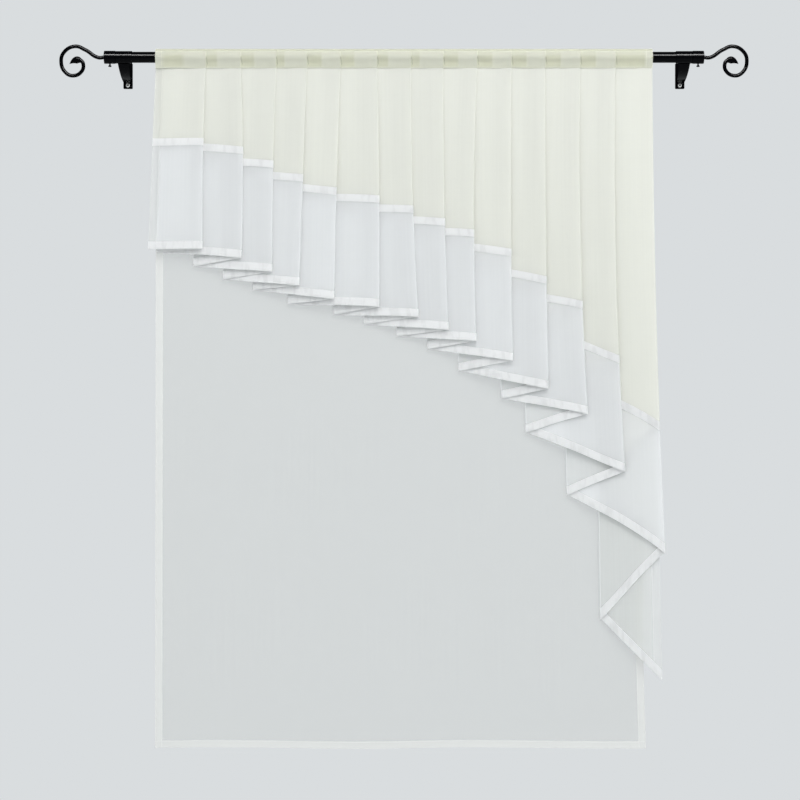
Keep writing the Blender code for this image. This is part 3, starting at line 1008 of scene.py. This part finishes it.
@dataclass
class Heading:
    """The rod pocket: a sleeve of pleated voile round the rod, stitched shut under it.

    Attributes:
        stack: How the pleats under it lie.
        half_width: Half its width.
        outer: Radius of its outer side over the rod.
        crest: How far its top edge stands over that radius.
        front_foot: How far its front reaches before the rod's axis at the stitching.
        back_foot: How far its back reaches behind the axis there.
        pleat_step: How far its front steps back after a front fold.
    """

    stack: PleatStack
    half_width: float = HALF_WIDTH
    outer: float = 14.2 * MM
    crest: float = 2.8 * MM
    front_foot: float = 6.4 * MM
    back_foot: float = 5.6 * MM
    pleat_step: float = 1.9 * MM
    # Painted shadows: dark slanting strips just right of each front fold, where the pleats step back; their
    # width, lean, top and foot.
    painted_shadow_width: float = 1.5 * MM
    painted_shadow_lean: float = 0.17
    painted_shadow_top: float = -1.0 * MM
    painted_shadow_foot: float = -15.5 * MM
    seam_top: float = -19.3 * MM
    thickness: float = 1.0 * MM
    arc_steps: int = 28
    foot_steps: int = 8
    foot_edge: float = -21.6 * MM
    side_hem: float = 14 * MM

    def section(self) -> list[tuple[Vector, float]]:
        """The points round the sleeve from its back foot over the rod to its front foot and under.

        Returns:
            Each point as (forward, up) from the rod's axis, and its share of the pleats' steps.
        """
        under = math.pi / 6
        points: list[tuple[Vector, float]] = []
        for step in range(self.arc_steps + 1):
            angle = (math.pi + 2 * under) * step / self.arc_steps - under
            ray = Vector((-math.cos(angle), math.sin(angle)))
            points.append((ray * (self.outer + self.crest * max(0.0, ray.y) ** 5), max(0.0, ray.x) ** 0.5))
        floor = -self.stack.stitch_drop
        front, back = Vector((self.front_foot, floor)), Vector((-self.back_foot, floor))
        last, first = points[-1][0], points[0][0]
        points += [(last.lerp(front, step / self.foot_steps), 1.0) for step in range(1, self.foot_steps + 1)]
        points += [(back, 0.0)]
        points += [(back.lerp(first, step / 4), 0.0) for step in range(1, 4)]
        return points

    def runs(self) -> list[float]:
        """Length round the sleeve from its back foot to each point of the section and home again."""
        points = [point for point, _ in self.section()]
        runs = [0.0]
        for start, end in zip(points, [*points[1:], points[0]]):
            runs.append(runs[-1] + (end - start).length)
        return runs

    def seams(self) -> tuple[Seam, ...]:
        """The stitches that shut the pocket under the rod, and those of its side hems."""
        foot = self.runs()[self.arc_steps + self.foot_steps]
        inside = self.half_width - self.side_hem + 1.2 * MM
        return Seam(Run.ACROSS, foot - 2.2 * MM), Seam(Run.DOWN, -inside), Seam(Run.DOWN, inside)

    def columns(self) -> list[tuple[float, float]]:
        """Places along the sleeve, each with the height of its pleat there from 0 to 1."""
        fronts = [fold.top * MM for fold in FOLDS if fold.kind is FRONT][:-1]
        columns = [(-self.half_width + 0.1 * step * (fronts[0] + self.half_width), 0.4 + 0.06 * step)
                   for step in range(10)]
        for x, after in zip(fronts, [*fronts[1:], self.half_width]):
            columns += [(x - 0.6 * MM, 1.0), (x, 0.96), (x + 0.5 * MM, 0.5), (x + 1.0 * MM, 0.08),
                        (x + 1.8 * MM, 0), (x + 2.4 * MM, 0.01), (x + 3.2 * MM, 0.02), (x + 4.0 * MM, 0.03)]
            start = x + 4.0 * MM
            columns += [(start + (after - 0.6 * MM - start) * step / 16, 0.03 + 0.97 * (step / 16) ** 0.8)
                        for step in range(1, 16)]
        columns.append((self.half_width, 1.0))
        return columns

    def layers(self, x: float, up: float) -> float:
        """How thick the cloth lies: 0 for three layers, 1 for five or a hem. Elsewhere over the rod's upper
        half it rises to 0.6, painted light that lightens that half as if lit from above; below 0 are painted
        shadows beside the front folds and painted shade along the top.
        """
        backs = [fold.top * MM for fold in FOLDS if fold.kind is BACK]
        fronts = [fold.top * MM for fold in FOLDS if fold.kind is FRONT]
        lean = self.painted_shadow_lean * (self.painted_shadow_top - up)
        beside_fold = any(0 < x - front - lean < self.painted_shadow_width for front in fronts)
        # Painted shadow: a dark strip just right of each front fold.
        if self.painted_shadow_foot < up < self.painted_shadow_top and beside_fold:
            return -0.8
        # Painted shade along the sleeve's top.
        if up > self.outer - 2.4 * MM:
            return -0.35
        returns = sum(1 for a, b in zip(backs, fronts) if a <= x <= b)
        doubled = returns > 1 or self.half_width - abs(x) < self.side_hem or up < self.seam_top
        # Over the rod's upper half the cloth is drawn denser: painted light, lighter as if lit from above.
        return 1.0 if doubled else 0.6 * min(1.0, max(0.0, up / (4 * MM)))

    def build(self, voile: bpy.types.Material) -> None:
        """Make and dress the heading.

        Args:
            voile: Its cloth.
        """
        section, columns, runs = self.section(), self.columns(), self.runs()
        around = len(section)

        def place(column: int, row: int) -> Vector:
            (point, weight), (x, height) = section[row % around], columns[column]
            gather = noise.noise(Vector((x * 170, 2.0, 9.0))) * 0.25 * MM * max(0.0, -point.y / (15 * MM))
            crumple = noise.noise(Vector((x * 60, (row % around) * 0.16, 3.0))) * 0.6 * MM + gather
            droop = noise.noise(Vector((x * 25, 8.0, 1.0))) * 0.7 * MM
            forward = point.x - self.pleat_step * weight * (1 - height) + crumple * weight
            up = point.y + (droop if point.y < -20 * MM else 0.4 * droop * (point.y > 0))
            return Vector((x, -self.stack.rod_out - forward, up))

        def flat(column: int, row: int) -> tuple[float, float]:
            return columns[column][0], runs[row]

        def density(column: int, row: int) -> float:
            return self.layers(columns[column][0], section[row % around][0].y)

        item = grid_piece("cream_heading", len(columns) - 1, around, place, flat, density)
        shape = bmesh.new()
        shape.from_mesh(item.data)
        bmesh.ops.remove_doubles(shape, verts=shape.verts, dist=SLEEVE_WELD)
        bmesh.ops.recalc_face_normals(shape, faces=shape.faces)
        crisp_rim(shape)
        for edge in shape.edges:
            if max(vert.co.z for vert in edge.verts) < self.foot_edge:
                edge.smooth = False
        shape.to_mesh(item.data)
        shape.free()
        thicken(item, self.thickness, -1.0)
        dress(item, voile, "cream_voile", "heading")


# The hardware


@dataclass
class Rod:
    """The rod and the cups that close its ends.

    Attributes:
        out: Distance of its axis from the wall.
        radius: Its radius.
        half: Half its length.
    """

    out: float = ROD_OUT
    radius: float = 11 * MM
    half: float = 598 * MM
    collar_start: float = 580.3 * MM
    collar_end: float = 603 * MM
    collar_radius: float = 13 * MM

    def axis(self, side: Side = Side.RIGHT) -> Matrix:
        """Turns a piece from the Z axis onto the rod's axis, pointing to a side."""
        return Matrix.Translation((0, -self.out, 0)) @ Matrix.Rotation(side.value * math.pi / 2, 4, "Y")

    def build(self, enamel: bpy.types.Material) -> None:
        """Make and dress the rod and its collars.

        Args:
            enamel: The black paint.
        """
        edge = 0.6 * MM
        r, half = self.radius, self.half
        bar = turned("curtain_rod", [(0, half), (r - edge, half), (r, half - edge), (r, edge - half),
                                     (r - edge, -half), (0, -half)])
        settle(bar, self.axis())
        dress(bar, enamel, "black_metal", "rod")
        for side in Side:
            self.collar(side, enamel)
            self.thumb_screw(side, enamel)

    def collar(self, side: Side, enamel: bpy.types.Material) -> None:
        """The cup on one end, with a groove near its mouth."""
        start, end, r = self.collar_start, self.collar_end, self.collar_radius
        bevel, floor, bore = 0.9 * MM, self.collar_end - 4 * MM, self.radius + 0.3 * MM
        cup = turned("collar_cup_" + side.word, [
            (0, end), (r - bevel, end), (r - 0.3 * bevel, end - 0.3 * bevel), (r, end - bevel),
            (r, start + bevel), (r - 0.3 * bevel, start + 0.3 * bevel), (r - bevel, start), (bore, start),
            (bore, floor), (0, floor)])
        settle(cup, self.axis(side))
        dress(cup, enamel, "black_metal", "collar_" + side.word)

    def thumb_screw(self, side: Side, enamel: bpy.types.Material) -> None:
        """The little screw under the collar that grips the finial."""
        shank, head, top = 1.6 * MM, 3.2 * MM, -0.6 * MM
        screw = turned("collar_thumb_screw_" + side.word, [
            (0, -top), (shank, -top), (shank, -3 * MM), (head * 0.8, -3.6 * MM), (head, -4.1 * MM),
            (head, -5.7 * MM), (head - 0.4 * MM, -6.2 * MM), (0, -6.2 * MM)], 24)
        middle = (self.collar_start + self.collar_end) / 2
        settle(screw, Matrix.Translation((side.value * middle, -self.out, -self.collar_radius)))
        dress(screw, enamel, "black_metal", "thumb_screw_" + side.word)


@dataclass(frozen=True)
class ScrollPoint:
    """A point of the finial's wire, in millimetres.

    Attributes:
        out: Distance out from the collar.
        rise: Height over the rod's axis.
    """

    out: float
    rise: float


@dataclass
class Finial:
    """A scroll of wire with a leaf at its end.

    Attributes:
        start: Where the wire leaves the collar.
        rod_out: The rod's distance from the wall.
        wire: The wire's radius.
        scroll: The wire's points from the collar to the leaf.
        leaf_root: Where the leaf starts.
        leaf_tip: Where the leaf ends.
    """

    start: float = 603.3 * MM
    rod_out: float = ROD_OUT
    wire: float = 3.8 * MM
    scroll: tuple[ScrollPoint, ...] = tuple(ScrollPoint(*row) for row in (
        (-1.3, 0), (12, -0.5), (38, 15), (58, 22), (80, 11), (86.5, -8), (78, -30), (62, -37), (45, -28),
        (42, -14), (46, -7), (51, -5),
    ))
    leaf_root: ScrollPoint = ScrollPoint(45, -9.5)
    leaf_bend: ScrollPoint = ScrollPoint(55, 0.5)
    leaf_tip: ScrollPoint = ScrollPoint(70, -13.7)
    leaf_radius: float = 7.3 * MM

    def place(self, side: Side, point: ScrollPoint) -> Vector:
        """A point of the scroll in the frame."""
        return Vector((side.value * (self.start + point.out * MM), -self.rod_out, point.rise * MM))

    def build(self, side: Side, enamel: bpy.types.Material) -> None:
        """Make and dress one finial.

        Args:
            side: Its end of the rod.
            enamel: The black paint.
        """
        curve = bpy.data.curves.new("finial_wire", "CURVE")
        curve.dimensions = "3D"
        curve.bevel_depth = self.wire
        curve.bevel_resolution = 6
        curve.use_fill_caps = True
        curve.resolution_u = 14
        spline = curve.splines.new("BEZIER")
        spline.bezier_points.add(len(self.scroll) - 1)
        for point, row in zip(spline.bezier_points, self.scroll):
            point.co = self.place(side, row)
            point.handle_left_type = point.handle_right_type = "AUTO"
        guide = bpy.data.objects.new("finial_guide", curve)
        bpy.context.scene.collection.objects.link(guide)
        mesh = bpy.data.meshes.new_from_object(guide.evaluated_get(bpy.context.evaluated_depsgraph_get()))
        bpy.data.objects.remove(guide)
        wire = bpy.data.objects.new("finial_scroll_" + side.word, mesh)
        bpy.context.scene.collection.objects.link(wire)
        shape = bmesh.new()
        shape.from_mesh(mesh)
        bmesh.ops.remove_doubles(shape, verts=shape.verts, dist=WELD)
        shape.to_mesh(mesh)
        shape.free()
        mesh.shade_smooth()
        dress(wire, enamel, "black_metal", "finial_" + side.word)
        self.leaf(side, enamel)

    def leaf(self, side: Side, enamel: bpy.types.Material) -> None:
        """The forged leaf that ends the scroll: plump and curved, with veins towards its pointed tip."""
        points = (self.leaf_root, self.leaf_bend, self.leaf_tip)
        root, bend, tip = (self.place(side, point) for point in points)
        shape = bmesh.new()
        bmesh.ops.create_uvsphere(shape, u_segments=48, v_segments=36, radius=1.0)
        for vert in shape.verts:
            share = (vert.co.z + 1) / 2
            middle = root * (1 - share) ** 2 + bend * 2 * share * (1 - share) + tip * share ** 2
            along = ((bend - root) * (1 - share) + (tip - bend) * share).normalized()
            across = along.cross(Vector((0, 1, 0)))
            angle = math.atan2(vert.co.y, vert.co.x)
            vein = 1 - 0.12 * abs(math.sin(3 * angle)) * math.sin(math.pi * share)
            cap = max(0.0, 1 - vert.co.z ** 2) ** 0.15
            radius = self.leaf_radius * math.sin(math.pi * (0.14 + 0.86 * share)) ** 0.9 * vein * cap
            vert.co = middle + (across * math.cos(angle) + Vector((0, 0.7 * math.sin(angle), 0))) * radius
        bmesh.ops.recalc_face_normals(shape, faces=shape.faces)
        for face in shape.faces:
            face.smooth = True
        leaf = object_from("finial_leaf_" + side.word, shape)
        dress(leaf, enamel, "black_metal", "finial_" + side.word)


@dataclass
class Bracket:
    """A wall plate with a curved arm and the ring that holds the rod.

    Attributes:
        rod_out: The rod's distance from the wall.
        inner: The ring's end nearer the middle of the rod.
        outer: The ring's other end.
    """

    rod_out: float = ROD_OUT
    inner: float = 547 * MM
    outer: float = 580.2 * MM
    bore: float = 11.3 * MM
    ring_radius: float = 12.4 * MM
    plate_width: float = 19 * MM
    plate_thickness: float = 4 * MM
    plate_top: float = -2 * MM
    plate_bottom: float = -54 * MM
    arm_thickness: float = 5 * MM
    arm_root: float = 17 * MM
    arm_front: float = 24 * MM
    screw_drop: float = 47 * MM
    recess: float = 1.8 * MM

    @property
    def middle(self) -> float:
        """Distance of the bracket's middle from the curtain's."""
        return (self.inner + self.outer) / 2

    def arm_path(self, share: float) -> Vector:
        """Middle of the arm as (distance from the wall, height), from the plate to the ring."""
        start, bend = Vector((2.2 * MM, -40 * MM)), Vector((66 * MM, -36 * MM))
        end = Vector((self.rod_out - 0.7 * MM, -11.6 * MM))
        return start * (1 - share) ** 2 + bend * 2 * share * (1 - share) + end * share ** 2

    def build(self, side: Side, enamel: bpy.types.Material, zinc: bpy.types.Material) -> None:
        """Make and dress one bracket with its screw.

        Args:
            side: Its end of the rod.
            enamel: The black paint.
            zinc: The screw's plating.
        """
        node = "bracket_" + side.word
        dress(self.plate(side), enamel, "black_metal", node)
        dress(self.arm(side), enamel, "black_metal", node)
        dress(self.ring(side), enamel, "black_metal", node)
        screw = dress(self.screw(side), zinc, "steel", "wall_screw_" + side.word)
        # The faces inside the head's recess take the black enamel: painted shade in the recess.
        screw.data.materials.append(enamel)
        axis = Vector((side.value * self.middle, 0, -self.screw_drop))
        for face in screw.data.polygons:
            offset = face.center - axis
            in_head = -offset.y > self.plate_thickness + 0.5 * MM
            if in_head and math.hypot(offset.x, offset.z) < self.recess - 0.1 * MM:
                face.material_index = 1

    def plate(self, side: Side) -> bpy.types.Object:
        """The plate on the wall, with rounded corners and edges."""
        shape = bmesh.new()
        bmesh.ops.create_cube(shape, size=1)
        height = self.plate_top - self.plate_bottom
        bmesh.ops.scale(shape, verts=shape.verts, vec=(self.plate_width, self.plate_thickness, height))
        corners = [e for e in shape.edges if abs(e.verts[0].co.x - e.verts[1].co.x) < WELD
                   and abs(e.verts[0].co.z - e.verts[1].co.z) < WELD]
        bmesh.ops.bevel(shape, geom=corners, offset=2 * MM, segments=4, affect="EDGES", profile=0.5,
                        material=-1)
        up = (self.plate_top + self.plate_bottom) / 2
        centre = Vector((side.value * self.middle, -self.plate_thickness / 2, up))
        bmesh.ops.translate(shape, verts=shape.verts, vec=centre)
        item = object_from("bracket_plate_" + side.word, shape)
        soften(item, 0.6 * MM)
        return item

    def arm(self, side: Side) -> bpy.types.Object:
        """The curved arm, wider at its front."""
        rows = 28

        def place(column: int, row: int) -> Vector:
            share = row / rows
            out, up = self.arm_path(share)
            width = self.arm_root + (self.arm_front - self.arm_root) * share ** 2
            crown = 0.5 * MM * (1 - (column / 2 - 1) ** 2)
            x = side.value * self.middle + (column / 4 - 0.5) * width
            return Vector((x, -out - 0.3 * crown, up - crown))

        item = grid_piece("bracket_arm_" + side.word, 4, rows, place)
        thicken(item, self.arm_thickness)
        soften(item, 0.7 * MM)
        return item

    def ring(self, side: Side) -> bpy.types.Object:
        """The ring round the rod."""
        bevel, r = 0.5 * MM, self.ring_radius
        item = turned("bracket_ring_" + side.word, [
            (self.bore, self.outer), (r - bevel, self.outer), (r, self.outer - bevel),
            (r, self.inner + bevel), (r - bevel, self.inner), (self.bore, self.inner),
            (self.bore, self.outer)])
        turn = Matrix.Rotation(side.value * math.pi / 2, 4, "Y")
        settle(item, Matrix.Translation((0, -self.rod_out, 0)) @ turn)
        return item

    def screw(self, side: Side) -> bpy.types.Object:
        """The pan-head wall screw with a recess in its head."""
        seat = self.plate_thickness + 0.3 * MM
        rim, top = 4 * MM, seat + 2.5 * MM
        item = turned("plate_screw_" + side.word, [
            (0, top - 1.8 * MM), (self.recess - 0.4 * MM, top - 1.8 * MM), (self.recess, top),
            (2.6 * MM, top - 0.1 * MM), (3.4 * MM, top - 0.8 * MM), (rim, seat + 1.0 * MM), (rim, seat),
            (2 * MM, seat), (2 * MM, 0.3 * MM), (0, 0.3 * MM)], 32)
        turn = Matrix.Rotation(math.pi / 2, 4, "X")
        settle(item, Matrix.Translation((side.value * self.middle, 0, -self.screw_drop)) @ turn)
        return item


# The studio


@dataclass
class Studio:
    """Plain pale floor, soft lights and the camera.

    Attributes:
        camera: The camera's place: level, 5 m before the rod.
        half_view: Half the width that it sees at the rod.
        floor_drop: The floor's drop below the rod's axis.
    """

    camera: Vector = field(default_factory=lambda: Vector((-0.008, -5.08, -0.6895)))
    half_view: float = 0.8048
    floor_drop: float = 2.3
    world_color: Color = (0.75, 0.78, 0.79)
    seen_color: Color = (0.695, 0.722, 0.737)

    def build(self) -> None:
        """Set up the floor, the light and the camera."""
        self.floor()
        self.sky()
        self.lamp("key_softbox", (1.5, -3.0, 2.7), (0.0, 0.0, -0.8), (2.4, 2.4), 76)
        self.lamp("fill_softbox", (0.2, -3.8, 2.2), (0.0, 0.0, -0.7), (3.0, 2.4), 44)
        strip = self.lamp("strip_light", (0.0, -1.61, 1.29), (0.0, -0.08, 0.0), (2.4, 0.5), 420)
        strip.visible_diffuse = strip.visible_transmission = False
        self.look()

    def floor(self) -> None:
        """A disc of floor below the curtain."""
        shape = bmesh.new()
        bmesh.ops.create_circle(shape, cap_ends=True, segments=96, radius=4.2)
        bmesh.ops.translate(shape, verts=shape.verts, vec=(0, 0, -self.floor_drop))
        item = object_from("studio_floor", shape)
        item.data.materials.append(Plaster().material())

    def sky(self) -> None:
        """An even pale surround, a little darker to the eye than it lights, unseen in the paint's gloss."""
        world = bpy.data.worlds.new("pale_studio")
        world.use_nodes = True
        tree = world.node_tree
        tone = tree.nodes.new("ShaderNodeMix")
        tone.data_type = "RGBA"
        tree.links.new(tree.nodes.new("ShaderNodeLightPath").outputs["Is Camera Ray"], tone.inputs[0])
        tone.inputs[6].default_value = (*self.world_color, 1)
        tone.inputs[7].default_value = (*self.seen_color, 1)
        tree.links.new(tone.outputs[2], tree.nodes["Background"].inputs["Color"])
        world.cycles_visibility.glossy = False
        bpy.context.scene.world = world

    @staticmethod
    def lamp(name: str, place: tuple[float, float, float], aim: tuple[float, float, float],
             size: tuple[float, float], power: float) -> bpy.types.Object:
        """Add a softbox.

        Args:
            name: Its name.
            place: Where it hangs.
            aim: What it points at.
            size: Its width and height.
            power: Its power in watts.

        Returns:
            The light's object.
        """
        light = bpy.data.lights.new(name, "AREA")
        light.shape = "RECTANGLE"
        light.size, light.size_y = size
        light.energy = power
        item = bpy.data.objects.new(name, light)
        item.location = place
        item.rotation_euler = (Vector(aim) - Vector(place)).to_track_quat("-Z", "Y").to_euler()
        bpy.context.scene.collection.objects.link(item)
        return item

    def look(self) -> None:
        """The camera at the photograph's angle, and plain colours."""
        data = bpy.data.cameras.new("photo_camera")
        data.angle = 2 * math.atan(self.half_view / 5.0)
        data.clip_end = 50
        item = bpy.data.objects.new("photo_camera", data)
        item.location = self.camera
        item.rotation_euler = (math.pi / 2, 0, 0)
        bpy.context.scene.collection.objects.link(item)
        bpy.context.scene.camera = item
        bpy.context.scene.view_settings.view_transform = "Standard"


def main() -> None:
    """Build the curtain's looks in order."""
    Studio().build()
    stack = PleatStack()
    heading, ruffle, panel = Heading(stack), Ruffle(stack), SheerPanel(stack)
    cream = Voile("cream_voile_cloth", (0.94, 0.94, 0.9), 0.70, 0.80, (0.93, 0.93, 0.93), glow=0.45,
                  seams=ruffle.side_seams()).material()
    # The last tint is painted shade for the heading's top and the strips beside its front folds.
    heading_cloth = Voile("cream_heading_cloth", (0.945, 0.945, 0.777), 0.62, 0.77, (0.95, 0.95, 1.02),
                          (0.84, 0.84, 0.84),
                          seams=heading.seams()).material()
    # The last tint is painted shade on the returns and the last panel.
    white = Voile("white_voile_cloth", (0.945, 0.95, 0.957), 0.58, 0.76, (0.88, 0.88, 0.87),
                  (0.85, 0.855, 0.83),
                  glow=0.38, seams=ruffle.side_seams()).material()
    sheer = Voile("sheer_voile_cloth", (0.71, 0.715, 0.70), 0.30, 0.60, (1.22, 1.21, 1.21),
                  seams=panel.seams()).material()
    ribbon = Satin("seam_ribbon_satin", (0.915, 0.915, 0.915), ruffle.ribbon_seams()).material()
    binding = Satin("hem_binding_satin", (0.96, 0.96, 0.96), ruffle.binding_seams()).material()
    enamel = Enamel("black_enamel", (0.0015, 0.0015, 0.002), 0.13).material()
    zinc = Plating("bright_zinc", (0.95, 0.95, 0.93)).material()

    heading.build(heading_cloth)
    ruffle.build(cream, white, ribbon, binding)
    panel.build(sheer)
    Rod().build(enamel)
    for side in Side:
        Finial().build(side, enamel)
        Bracket().build(side, enamel, zinc)


if __name__ == "__main__":
    main()
